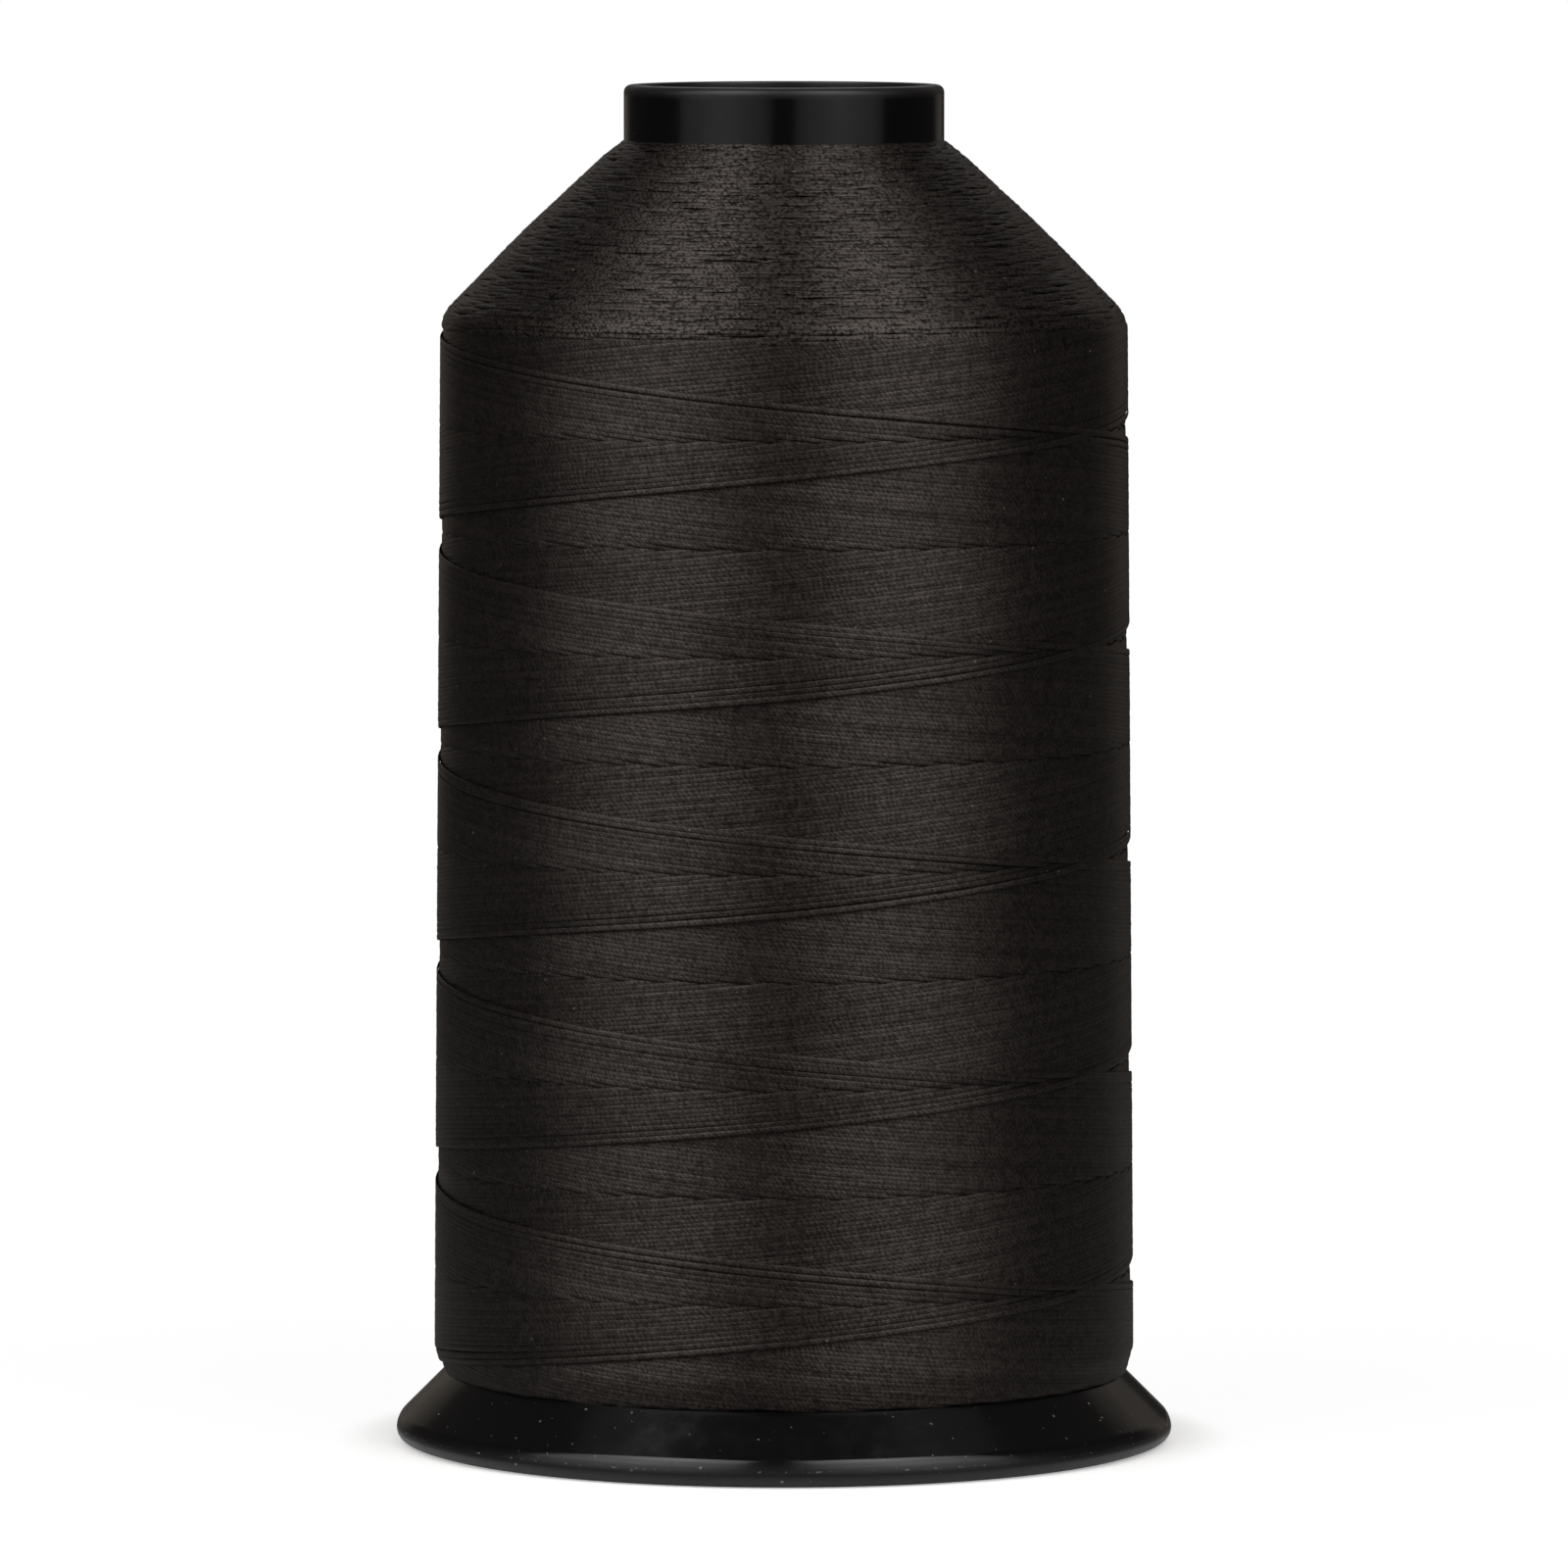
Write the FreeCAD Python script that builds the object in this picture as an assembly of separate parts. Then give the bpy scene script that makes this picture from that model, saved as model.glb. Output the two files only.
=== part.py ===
import FreeCAD, Part
import math
import os

# A king spool of sewing thread: a tube, its raised conical foot and a cross-wound pack of thread.
# Millimetres and degrees. +Z runs up the spool, and the origin is on the floor at the foot's centre.
# A section's corner is (radius, height, rounding of that corner).

# The tube, whose bare top end is the nose collar
SPOOL_HEIGHT = 168.3
BARREL_RADIUS = 19.8
BARREL_WALL = 2.2
NOSE_OUTER_ROUND = 1.1
NOSE_INNER_ROUND = 0.7
BARREL_LEAD_IN = 0.6

# The snap ring that holds the tube in the foot's sleeve
SNAP_DEPTH = 0.4
SNAP_WIDTH = 0.8
SNAP_ABOVE_SEAT = 6.0

# The foot: a conical skirt with a bead rim, a sleeve for the tube and ribs between the two
FOOT_RADIUS = 48.2
FOOT_WALL = 2.0
SKIRT_ANGLE = 45.0
SKIRT_START_HEIGHT = 2.75
SKIRT_ROUND = 1.57
LIP_FLOOR_INSET = 0.7
LIP_HEIGHT = 0.875
LIP_ROUND = 3.1
RIM_FLOOR_WIDTH = 1.6
RIM_INNER_ROUND = 1.0
SLEEVE_WALL = 2.0
SLEEVE_LAND = 0.8
SEAT_HEIGHT = 6.0
SEAT_LEDGE_THICKNESS = 2.0
SEAT_LEDGE_INSET = 0.6
RIB_COUNT = 6
RIB_THICKNESS = 1.6
RIB_FLOOR_GAP = 3.0
RIB_ROOT_DEPTH = 1.0

# The pack of thread, as wide as its outermost turns reach
NOSE_BARE_LENGTH = 7.2
PACK_FOOT_RADIUS = 43.35
PACK_SHOULDER_RADIUS = 42.35
PACK_FOOT_ROUND = 1.0
PACK_NOSE_SLOPE = 35.0
PACK_NOSE_LENGTH = 2.6
SHOULDER_ANGLE = 45.0
SHOULDER_ROUND = 4.8
SHOULDER_ABOVE_NOSE = 1.1

# The thread and how it is laid: the height the pack gains in one turn is the same up and down
THREAD_DIAMETER = 0.53
THREAD_LEAD = 26.17
FIRST_TURN_ANGLE = -88.0
FIRST_TURN_BELOW_CORNER = 3.15
LOWEST_TURN_ABOVE_SKIRT = 4.0
SHOULDER_TURN_BELOW_CORNER = 2.05
LAST_TURN_BELOW_NOSE = 1.9
SHOULDER_TURNS = 12
SHOULDER_EASE_TURNS = 0.25
REVERSE_TURNS = 0.5
SPANS_PER_TURN = 4

# Clearances
BARREL_FIT = 0.1
PACK_FIT = 0.1
LAYER_GAP = 0.45
THREAD_SEAT = 0.05

# How the least gap of the wound thread is measured
LEAST_GAP_ALLOWED = 0.4
SAMPLE_STEP = 0.3
SAMPLE_CELL = 2.0
SAMPLE_SKIP_LENGTH = 6.0

ORIGIN = FreeCAD.Vector(0, 0, 0)
UP = FreeCAD.Vector(0, 0, 1)


def skirt_height(radius, outside=0.0):
    """Height of the skirt's cone at a radius, or of a cone that lies so far outside it."""
    slope = math.tan(math.radians(SKIRT_ANGLE))
    rise = outside / math.cos(math.radians(SKIRT_ANGLE))
    return SKIRT_START_HEIGHT + (FOOT_RADIUS - radius) * slope + rise


def skirt_radius(height, outside=0.0):
    """Radius of the skirt's cone at a height, or of a cone that lies so far outside it."""
    slope = math.tan(math.radians(SKIRT_ANGLE))
    rise = outside / math.cos(math.radians(SKIRT_ANGLE))
    return FOOT_RADIUS - (height - SKIRT_START_HEIGHT - rise) / slope


def rounded_face(corners):
    """A flat face in the XZ plane whose corners are rounded by tangent arcs."""
    joints = []
    for index, (radius, height, rounding) in enumerate(corners):
        here = FreeCAD.Vector(radius, 0, height)
        before = FreeCAD.Vector(corners[index - 1][0], 0, corners[index - 1][1]) - here
        following = corners[(index + 1) % len(corners)]
        after = FreeCAD.Vector(following[0], 0, following[1]) - here
        before.normalize()
        after.normalize()
        half_angle = before.getAngle(after) / 2
        reach = rounding / math.tan(half_angle)
        inwards = before + after
        inwards.normalize()
        middle = here + inwards * (rounding / math.sin(half_angle) - rounding)
        joints.append((here + before * reach, middle, here + after * reach, rounding > 0))
    edges = []
    for index, (start, middle, end, is_rounded) in enumerate(joints):
        if is_rounded:
            edges.append(Part.Arc(start, middle, end).toShape())
        edges.append(Part.LineSegment(end, joints[(index + 1) % len(joints)][0]).toShape())
    return Part.Face(Part.Wire(edges))


def turned(corners):
    """A solid turned about the spool's axis from a section."""
    return rounded_face(corners).revolve(ORIGIN, UP, 360)


def snap_corners(radius, clearance):
    """The snap ring's outline on a wall, from its lower end up, or its groove with a clearance."""
    middle = SEAT_HEIGHT + SNAP_ABOVE_SEAT
    half_top = SNAP_WIDTH / 2 + clearance
    half_root = half_top + SNAP_DEPTH
    return [
        (radius, middle - half_root, 0),
        (radius + SNAP_DEPTH, middle - half_top, 0),
        (radius + SNAP_DEPTH, middle + half_top, 0),
        (radius, middle + half_root, 0),
    ]


def spool_barrel():
    """The tube, open from end to end, with a rounded nose and a snap ring near its lower end."""
    bore = BARREL_RADIUS - BARREL_WALL
    return turned([
        (bore, SEAT_HEIGHT + BARREL_LEAD_IN, 0),
        (bore + BARREL_LEAD_IN, SEAT_HEIGHT, 0),
        (BARREL_RADIUS, SEAT_HEIGHT, 0),
        *snap_corners(BARREL_RADIUS, 0),
        (BARREL_RADIUS, SPOOL_HEIGHT, NOSE_OUTER_ROUND),
        (bore, SPOOL_HEIGHT, NOSE_INNER_ROUND),
    ])


def foot_rib(sleeve_outside):
    """One rib in the XZ plane, rooted in the sleeve and in the skirt's wall."""
    root = sleeve_outside - RIB_ROOT_DEPTH
    inside = RIB_ROOT_DEPTH - FOOT_WALL
    profile = rounded_face([
        (root, RIB_FLOOR_GAP, 0),
        (skirt_radius(RIB_FLOOR_GAP, inside), RIB_FLOOR_GAP, 0),
        (root, skirt_height(root, inside), 0),
    ])
    rib = profile.extrude(FreeCAD.Vector(0, RIB_THICKNESS, 0))
    rib.translate(FreeCAD.Vector(0, -RIB_THICKNESS / 2, 0))
    return rib


def foot_flange():
    """The conical foot, with a sleeve and a ledge that the tube is pushed down onto."""
    sleeve_inside = BARREL_RADIUS + BARREL_FIT
    sleeve_outside = sleeve_inside + SLEEVE_WALL
    land_outside = sleeve_inside + SLEEVE_LAND
    ledge_inside = BARREL_RADIUS - BARREL_WALL + SEAT_LEDGE_INSET
    ledge_bottom = SEAT_HEIGHT - SEAT_LEDGE_THICKNESS
    rim_outside = FOOT_RADIUS - LIP_FLOOR_INSET
    rim_inside = rim_outside - RIM_FLOOR_WIDTH
    foot = turned([
        (rim_outside, 0, 0),
        (FOOT_RADIUS, LIP_HEIGHT, LIP_ROUND),
        (FOOT_RADIUS, SKIRT_START_HEIGHT, SKIRT_ROUND),
        (land_outside, skirt_height(land_outside), 0),
        (sleeve_inside, skirt_height(land_outside), 0),
        *reversed(snap_corners(sleeve_inside, BARREL_FIT)),
        (sleeve_inside, SEAT_HEIGHT, 0),
        (ledge_inside, SEAT_HEIGHT, 0),
        (ledge_inside, ledge_bottom, 0),
        (sleeve_outside, ledge_bottom, 0),
        (sleeve_outside, skirt_height(sleeve_outside, -FOOT_WALL), RIM_INNER_ROUND),
        (rim_inside, skirt_height(rim_inside, -FOOT_WALL), RIM_INNER_ROUND),
        (rim_inside, 0, 0),
    ])
    ribs = []
    for index in range(RIB_COUNT):
        rib = foot_rib(sleeve_outside)
        rib.rotate(ORIGIN, UP, 360.0 * (index + 0.5) / RIB_COUNT)
        ribs.append(rib)
    return foot.fuse(ribs).removeSplitter()


def pack_foot_height():
    """Height at which the pack's outside meets the skirt."""
    return skirt_height(PACK_FOOT_RADIUS)


def pack_nose_height():
    """Height at which the pack ends on the tube."""
    return SPOOL_HEIGHT - NOSE_BARE_LENGTH


def shoulder_corner_height():
    """Height at which the lines of the pack's shoulder and body would meet."""
    fall = (PACK_SHOULDER_RADIUS - BARREL_RADIUS) * math.tan(math.radians(SHOULDER_ANGLE))
    return pack_nose_height() + SHOULDER_ABOVE_NOSE - fall


def layers_depth(layers):
    """Depth below the pack's outside that some layers of thread take, down to their middle line."""
    return THREAD_DIAMETER / 2 + (layers - 1) * (THREAD_DIAMETER + LAYER_GAP)


def body_radius(height, inset):
    """Radius of the pack's nearly straight body, less an inset."""
    share = (height - pack_foot_height()) / (shoulder_corner_height() - pack_foot_height())
    return PACK_FOOT_RADIUS + (PACK_SHOULDER_RADIUS - PACK_FOOT_RADIUS) * share - inset


def shoulder_radius(height, inset):
    """Radius of the shoulder's cone, less an inset measured square to its slope."""
    slope = math.radians(SHOULDER_ANGLE)
    rise = height - shoulder_corner_height()
    return PACK_SHOULDER_RADIUS - rise / math.tan(slope) - inset / math.sin(slope)


def corner_height(body_inset, shoulder_inset):
    """Height at which the body's line meets the shoulder's line."""
    below = shoulder_corner_height() - SHOULDER_ROUND
    above = shoulder_corner_height() + SHOULDER_ROUND
    gap_below = shoulder_radius(below, shoulder_inset) - body_radius(below, body_inset)
    gap_above = shoulder_radius(above, shoulder_inset) - body_radius(above, body_inset)
    return below + (above - below) * gap_below / (gap_below - gap_above)


def pack_radius(height, inset):
    """Radius of the wound surface at a height, less an inset, with its rounded shoulder."""
    rounding = SHOULDER_ROUND - inset
    corner = corner_height(inset, inset)
    centre_radius = body_radius(corner, inset) - rounding
    centre_height = corner - rounding * math.tan(math.radians(SHOULDER_ANGLE / 2))
    if height <= centre_height:
        return body_radius(height, inset)
    if height >= centre_height + rounding * math.sin(math.radians(SHOULDER_ANGLE)):
        return shoulder_radius(height, inset)
    return centre_radius + math.sqrt(rounding ** 2 - (height - centre_height) ** 2)


def thread_pack():
    """The wound thread under the outermost turns, seated on the tube and on the foot's cone."""
    inside = BARREL_RADIUS + PACK_FIT
    body_inset = layers_depth(2) + THREAD_DIAMETER / 2 + THREAD_SEAT
    shoulder_inset = layers_depth(1) + THREAD_DIAMETER / 2 + THREAD_SEAT
    corner = corner_height(body_inset, shoulder_inset)
    low_radius = body_radius(pack_foot_height(), body_inset)
    knee_height = pack_nose_height() - PACK_NOSE_LENGTH * math.tan(math.radians(PACK_NOSE_SLOPE))
    return turned([
        (inside, skirt_height(inside, PACK_FIT), 0),
        (low_radius, skirt_height(low_radius, PACK_FIT), PACK_FOOT_ROUND),
        (body_radius(corner, body_inset), corner, SHOULDER_ROUND - body_inset),
        (shoulder_radius(knee_height, shoulder_inset), knee_height, 0),
        (inside, pack_nose_height() - shoulder_inset, 0),
    ])


def first_turn_height():
    """Height at which the outermost thread starts down the pack."""
    return shoulder_corner_height() - FIRST_TURN_BELOW_CORNER


def laid_legs():
    """The outermost thread's legs: turns, and the height gained per turn at each end of the leg."""
    turn_back_height = pack_foot_height() + LOWEST_TURN_ABOVE_SKIRT + THREAD_LEAD * REVERSE_TURNS / 4
    shoulder_height = shoulder_corner_height() - SHOULDER_TURN_BELOW_CORNER
    fall_turns = (first_turn_height() - turn_back_height) / THREAD_LEAD
    rise_turns = (shoulder_height - turn_back_height) / THREAD_LEAD
    shoulder_rise = pack_nose_height() - LAST_TURN_BELOW_NOSE - shoulder_height
    eased_rise = THREAD_LEAD * SHOULDER_EASE_TURNS / 2
    pitch = (shoulder_rise - eased_rise) / (SHOULDER_TURNS + SHOULDER_EASE_TURNS / 2)
    return [
        (fall_turns, -THREAD_LEAD, -THREAD_LEAD),
        (REVERSE_TURNS, -THREAD_LEAD, THREAD_LEAD),
        (rise_turns, THREAD_LEAD, THREAD_LEAD),
        (SHOULDER_EASE_TURNS, THREAD_LEAD, pitch),
        (SHOULDER_TURNS, pitch, pitch),
    ]


def laid_height(turn):
    """Height of the outermost thread's middle line, so many turns from its start."""
    height = first_turn_height()
    left = turn
    for turns, first_gain, last_gain in laid_legs():
        run = min(left, turns)
        gain = first_gain + (last_gain - first_gain) * run / turns
        height += (first_gain + gain) / 2 * run
        left -= run
        if left <= 0:
            break
    return height


def laid_inset(turn):
    """Depth of the middle line in the pack: the under layer, then the top one from the reversal on."""
    fall_turns = laid_legs()[0][0]
    share = min(max((turn - fall_turns) / REVERSE_TURNS, 0.0), 1.0)
    climbed = (1 - math.cos(math.pi * share)) / 2
    return layers_depth(2) + (layers_depth(1) - layers_depth(2)) * climbed


def laid_point(turn):
    """Point of the outermost thread's middle line, so many turns from its start."""
    height = laid_height(turn)
    radius = pack_radius(height, laid_inset(turn))
    angle = 2 * math.pi * turn + math.radians(FIRST_TURN_ANGLE)
    return FreeCAD.Vector(radius * math.sin(angle), -radius * math.cos(angle), height)


def laid_direction(turn):
    """Direction of the outermost thread's middle line there."""
    step = 1e-4
    along = laid_point(turn + step) - laid_point(turn - step)
    along.normalize()
    return along


def tangent_arc(start, pull, end):
    """The arc from start to end whose two end tangents meet at pull, as far from the one as the other."""
    weight = (end - start).Length / (2 * (pull - start).Length)
    middle = (start + pull * (2 * weight) + end) * (1 / (2 + 2 * weight))
    return Part.Arc(start, middle, end).toShape()


def biarc(start, start_way, end, end_way):
    """Two arcs that leave start one way, meet smoothly and arrive at end the other way."""
    across = end - start
    both = start_way + end_way
    bend = 2 * (1 - start_way.dot(end_way))
    lean = across.dot(both)
    pull = (math.sqrt(lean ** 2 + bend * across.dot(across)) - lean) / bend
    first_pull = start + start_way * pull
    last_pull = end - end_way * pull
    meeting = (first_pull + last_pull) * 0.5
    return [tangent_arc(start, first_pull, meeting), tangent_arc(meeting, last_pull, end)]


def laid_path():
    """Edges of the outermost thread's middle line: two arcs a quarter turn, with short straight ends."""
    turns = sum(leg[0] for leg in laid_legs())
    spans = math.ceil(turns * SPANS_PER_TURN)
    stops = [turns * index / spans for index in range(spans + 1)]
    points = [laid_point(stop) for stop in stops]
    ways = [laid_direction(stop) for stop in stops]
    edges = [Part.LineSegment(points[0] - ways[0] * THREAD_DIAMETER, points[0]).toShape()]
    for index in range(spans):
        edges += biarc(points[index], ways[index], points[index + 1], ways[index + 1])
    edges.append(Part.LineSegment(points[-1], points[-1] + ways[-1] * THREAD_DIAMETER).toShape())
    print(f"outermost thread: {turns:.2f} turns, {sum(edge.Length for edge in edges):.0f} mm long")
    return edges


def thread_samples(edges):
    """Points along the thread with how far along it each one lies."""
    samples = []
    run = 0.0
    for edge in edges:
        count = max(1, math.ceil(edge.Length / SAMPLE_STEP))
        for index in range(count):
            share = index / count
            point = edge.valueAt(edge.FirstParameter + (edge.LastParameter - edge.FirstParameter) * share)
            samples.append((point.x, point.y, point.z, run + edge.Length * share))
        run += edge.Length
    return samples


def least_gap(edges):
    """Least gap between stretches of the thread that aren't neighbours along it, from points on it."""
    nearby = [(i, j, k) for i in (-1, 0, 1) for j in (-1, 0, 1) for k in (-1, 0, 1)]
    cells = {}
    least = math.inf
    for sample in thread_samples(edges):
        home = [math.floor(value / SAMPLE_CELL) for value in sample[:3]]
        for i, j, k in nearby:
            for other in cells.get((home[0] + i, home[1] + j, home[2] + k), ()):
                if sample[3] - other[3] > SAMPLE_SKIP_LENGTH:
                    least = min(least, math.dist(sample[:3], other[:3]))
        cells.setdefault(tuple(home), []).append(sample)
    return least - THREAD_DIAMETER


def thread_outer_layer():
    """The outermost turns as one unbroken tube: down the pack, back up over them and round the shoulder."""
    edges = laid_path()
    path = Part.Wire(edges)
    start = edges[0].Vertexes[0].Point
    ring = Part.makeCircle(THREAD_DIAMETER / 2, start, laid_direction(0))
    tube = path.makePipeShell([Part.Wire(ring)], True, False)
    expected = path.Length * math.pi * THREAD_DIAMETER ** 2 / 4
    tightest = min(edge.Curve.Radius for edge in edges[1:-1])
    print(f"tube volume over section times length: {tube.Volume / expected:.4f}")
    print(f"tightest bend radius: {tightest:.2f} mm")
    gap = least_gap(edges)
    print(f"least gap of the thread to itself: {gap:.3f} mm")
    if gap <= LEAST_GAP_ALLOWED:
        raise ValueError("the outermost turns lie too close to each other")
    return tube


def write_piece(name, shape):
    """Checks that a piece is one sound solid and writes it under its name."""
    if not shape.isValid() or len(shape.Solids) != 1:
        raise ValueError(f"{name} is not one sound solid")
    print(f"{name}: {shape.Volume:.1f} cubic mm")
    shape.exportStep(f"parts/{name}.step")


os.makedirs("parts", exist_ok=True)
write_piece("spool_barrel", spool_barrel())
write_piece("foot_flange", foot_flange())
write_piece("thread_pack", thread_pack())
write_piece("thread_outer_layer", thread_outer_layer())
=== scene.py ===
import math

import bmesh
import bpy
import numpy as np
from bpy.props import FloatProperty, FloatVectorProperty, IntProperty, PointerProperty
from mathutils import Matrix, Vector


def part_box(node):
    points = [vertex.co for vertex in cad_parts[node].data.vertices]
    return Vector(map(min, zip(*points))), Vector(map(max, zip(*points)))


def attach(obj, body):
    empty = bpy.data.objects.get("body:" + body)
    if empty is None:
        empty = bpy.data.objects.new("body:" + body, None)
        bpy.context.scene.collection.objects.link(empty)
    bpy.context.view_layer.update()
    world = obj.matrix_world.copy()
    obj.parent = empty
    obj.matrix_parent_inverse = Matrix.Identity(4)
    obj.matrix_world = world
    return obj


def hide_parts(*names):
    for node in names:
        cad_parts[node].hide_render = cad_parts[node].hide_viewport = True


bl_info = {
    "name": "Spool of thread",
    "version": (1, 0, 0),
    "blender": (4, 5, 0),
    "location": "3D View > Sidebar > Spool",
    "description": "Glossy tube and foot, cross-wound bonded thread and the studio round them",
    "category": "Object",
}

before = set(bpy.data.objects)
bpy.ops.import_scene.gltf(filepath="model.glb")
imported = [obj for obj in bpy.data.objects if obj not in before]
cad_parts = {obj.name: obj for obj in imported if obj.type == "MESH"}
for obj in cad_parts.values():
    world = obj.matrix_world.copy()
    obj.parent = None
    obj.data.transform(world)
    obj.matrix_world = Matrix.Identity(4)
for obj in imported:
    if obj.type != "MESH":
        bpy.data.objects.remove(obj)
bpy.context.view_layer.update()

MM = 0.001
BODY = "root"
AXIS = Vector((0, 0, 1))
ORIGIN = Vector((0, 0, 0))
TUBE_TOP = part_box("spool_barrel")[1].z
FOOT_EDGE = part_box("foot_flange")[1].x

# How finely the pieces are cut
LATHE_STEPS = 192
CORNER_STEPS = 10
TURN_STEPS = 144
THREAD_SIDES = 6
CRISP_ANGLE = math.radians(35)
WELD_DISTANCE = 0.001 * MM

# The tube, and the snap ring that holds it in a groove in the foot's sleeve
LEAD_IN = 0.6 * MM
BORE_ROUND = 0.3 * MM
SNAP_HEIGHT = 6.0 * MM
SNAP_DEPTH = 0.4 * MM
SNAP_REACH = 0.8 * MM
GROOVE_REACH = 0.9 * MM

# The foot's rim in section, measured inwards from its edge and upwards, and its sleeve and ribs
FLAT_RING_INSET = 1.9 * MM
HOLLOW_INSET = 2.3 * MM
LIP_INSET = 0.45 * MM
LIP_TOP = 1.25 * MM
LIP_ROUND = 1.2 * MM
FLOOR_ROUND = 0.5 * MM
BEAD_ROUND = 2.7 * MM
HOLLOW_ROUND = 1.0 * MM
SLEEVE_WALL = 2.0 * MM
SLEEVE_LAND = 0.8 * MM
LEDGE_THICKNESS = 2.0 * MM
RIB_COUNT = 6
RIB_THICKNESS = 1.6 * MM
RIB_FLOOR_GAP = 3.0 * MM
RIB_SINK = 1.0 * MM
FIRST_RIB = math.radians(30)

# The pack's measured outside in millimetres: radius, height and rounding of each corner
PACK_CORNERS = (
    (42.3, 7.9, 0),
    (43.42, 11.9, 2.4),
    (42.45, 139.85, 4.8),
    (32.5, 150.1, 150),
    (22.4, 159.5, 1.5),
    (19.8, 161.5, 0),
)
LINE_POINTS = 2000
ROUNDING_POINTS = 25

# The pack's inside, which lies under the threads that show
CORE_FIT = 0.1 * MM
CORE_OVER_SKIRT = 0.15 * MM
CORE_RADIUS = 42.4 * MM
CORE_BEVEL = 0.7 * MM
CORE_BEVEL_ROUND = 0.5 * MM
CORE_TUCK_TOP = 11.6 * MM
CORE_TUCK_ROUND = 2.0 * MM
CORE_END_GAP = 0.8 * MM
# How far inside the pack's own corners on the shoulder its corners lie, inwards and down in
# millimetres, and their rounding
CORE_INSETS = ((0.8, 0.336, 4.0), (0.24, 0.24, 0), (0.24, 0.32, 1.0))

# How the body's threads lie. A share is a part of one turn, counted in from the pack's upper or
# lower edge: where the two families lie apart, where they are still one thread that turns back,
# where a run that goes on past the edge has dived, and where strays and jitter reach and fade.
EXTRA_STEPS = 3
APART_SHARE = 0.03
TURNING_SHARE = 0.01
EDGE_DIVE = 2.5 * MM
DIVE_SHARE = 0.02
STRAY_PARTS = (1.0, 0.9, 0.5, 0.2)
STRAY_SHARE = 0.12
EDGE_JITTER = 0.12 * MM
JITTER_SHARE = 0.02
# How unevenly, in threads, a front sinks under the other family, and how far a run goes on there
UNEVEN_SINKING = 0.6
HIDDEN_THREADS = 1.3
STEPS_BEFORE = 7
LEAST_STEPS = 4
LIFT_WANDER = 0.03 * MM
END_SINKS = (0.14 * MM, 0.05 * MM)
BODY_TONES = (0.8, 1.2)
# A run's tone, as a share of this length in metres, shifts its ply marks
PHASE_LENGTH = 0.1

# How the threads turn back on the shoulder and at the foot, and lie against the tube. A jitter
# round the pack is a share of a turn.
TURN_BACK_POINTS = 9
TURN_BACK_SINK = 0.16 * MM
TURN_BACK_WANDER = 0.06 * MM
TURN_BACK_TONES = (0.7, 1.3)
SHOULDER_START = 0.8 * MM
SHOULDER_JITTER = 0.008
SHOULDER_RISE_JITTER = 0.13 * MM
SHOULDER_LIFT = 0.02 * MM
SHOULDER_LIFT_JITTER = 0.014 * MM
TUCK_LENGTH = 1.2 * MM
TUCK_DEPTH = 0.12 * MM
PACK_END_GAP = 0.3 * MM
NOSE_TURNS = 2.5
NOSE_CLOSENESS = 0.9
NOSE_SINK = 0.9
NOSE_WANDER = 0.04 * MM
FOOT_TURN_HEIGHT = 8.75 * MM
FOOT_TURN_SINK = 0.6 * MM
FOOT_JITTER = 0.003
FOOT_RISE_JITTER = 0.1 * MM

# Real sizes of the marks on the plastic: sinks over the ribs and walls, the mould's fine grain,
# scuffs, specks of dust, and the torn flash, which reaches so far up and down
SINK_SIZE = 9 * MM
SINK_DEPTH = 0.04 * MM
GRAIN_SIZE = 0.4 * MM
GRAIN_DEPTH = 0.0015 * MM
SCUFF_SIZE = 4 * MM
RUBBED_ROUGHNESS = 0.2
PLASTIC_SPECK = 0.36 * MM
FLASH_TEAR = 0.7 * MM
FLASH_REACH = 0.09 * MM

# Real sizes of the marks on the thread, and how strongly they show
LOOSE_PLY_SIZE = 3 * MM
LOOSE_PLY_SHIFT = 8.0
PLIES = 3
PLY_DEPTH = 0.012 * MM
# How much lighter the ply crests are painted than their grooves: a painted highlight on the crests
# and painted shade in the grooves
PLY_LIGHTENING = 0.45
PLY_FLOOR = 0.47
MOTTLE_SIZE = 1.3 * MM
# The filaments are about 0.03 mm thick, too fine to show, so their painted glints are drawn this
# coarse
FIBRE_SIZE = 0.42 * MM
THREAD_SPECK = 0.34 * MM
THREAD_SPECK_SPACING = 1.8 * MM
# Shares of the dye's colour that paint the deepest shade and the fullest light on the thread, and
# the shade in the buried thread's troughs
PAINTED_SHADE_SHARE = 0.2
PAINTED_LIGHT_SHARE = 3.5
BURIED_SHADE_SHARE = 0.3
RIDGE_DEPTH = 0.2 * MM
# A wave texture of scale 1 has a band in each of this length
WAVE_BAND = 0.314

# Polystyrene's own is 1.59, but the photographed reflections fit a little less
POLYSTYRENE_IOR = 1.49
NYLON_IOR = 1.53

# The studio, in metres and degrees round from the camera's side
TABLE_RADIUS = 0.3
ROOM_RADIUS = 3.2
TABLE_FADE = 9 * MM
MIRRORED_TABLE = 0.05
ROOM_RISE = 0.5
SOFTBOX_DISTANCE = 0.95
SOFTBOX_DIMMING = 1.2
# Side, azimuth, how much farther round all but the low part stands, and width
SOFTBOXES = (("left", -43.8, -5.5, 1.34), ("right", 41.5, 0, 1.24))
# Part, and where it begins and ends over the table
SOFTBOX_PARTS = (("low", 0.0, 0.2), ("middle", 0.2, 0.57), ("high", 0.57, 1.2), ("top", 1.2, 2.6))
SIDE_LIGHTS = (("left", -97), ("right", 92))
SIDE_LIGHT_HEIGHTS = (1.4, 2.8)
SIDE_LIGHT_WIDTH = 1.1
# Side, azimuth and width
BACK_LIGHTS = (("left", -159, 0.36), ("right", 149, 0.34))
BACK_LIGHT_DISTANCE = 0.9
BACK_LIGHT_HEIGHTS = (0.0, 0.6)
BACKDROP_HEIGHTS = (0.5, 1.5)
BACKDROP_WIDTH = 0.6
FARTHEST_SEEN = 50


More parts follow.
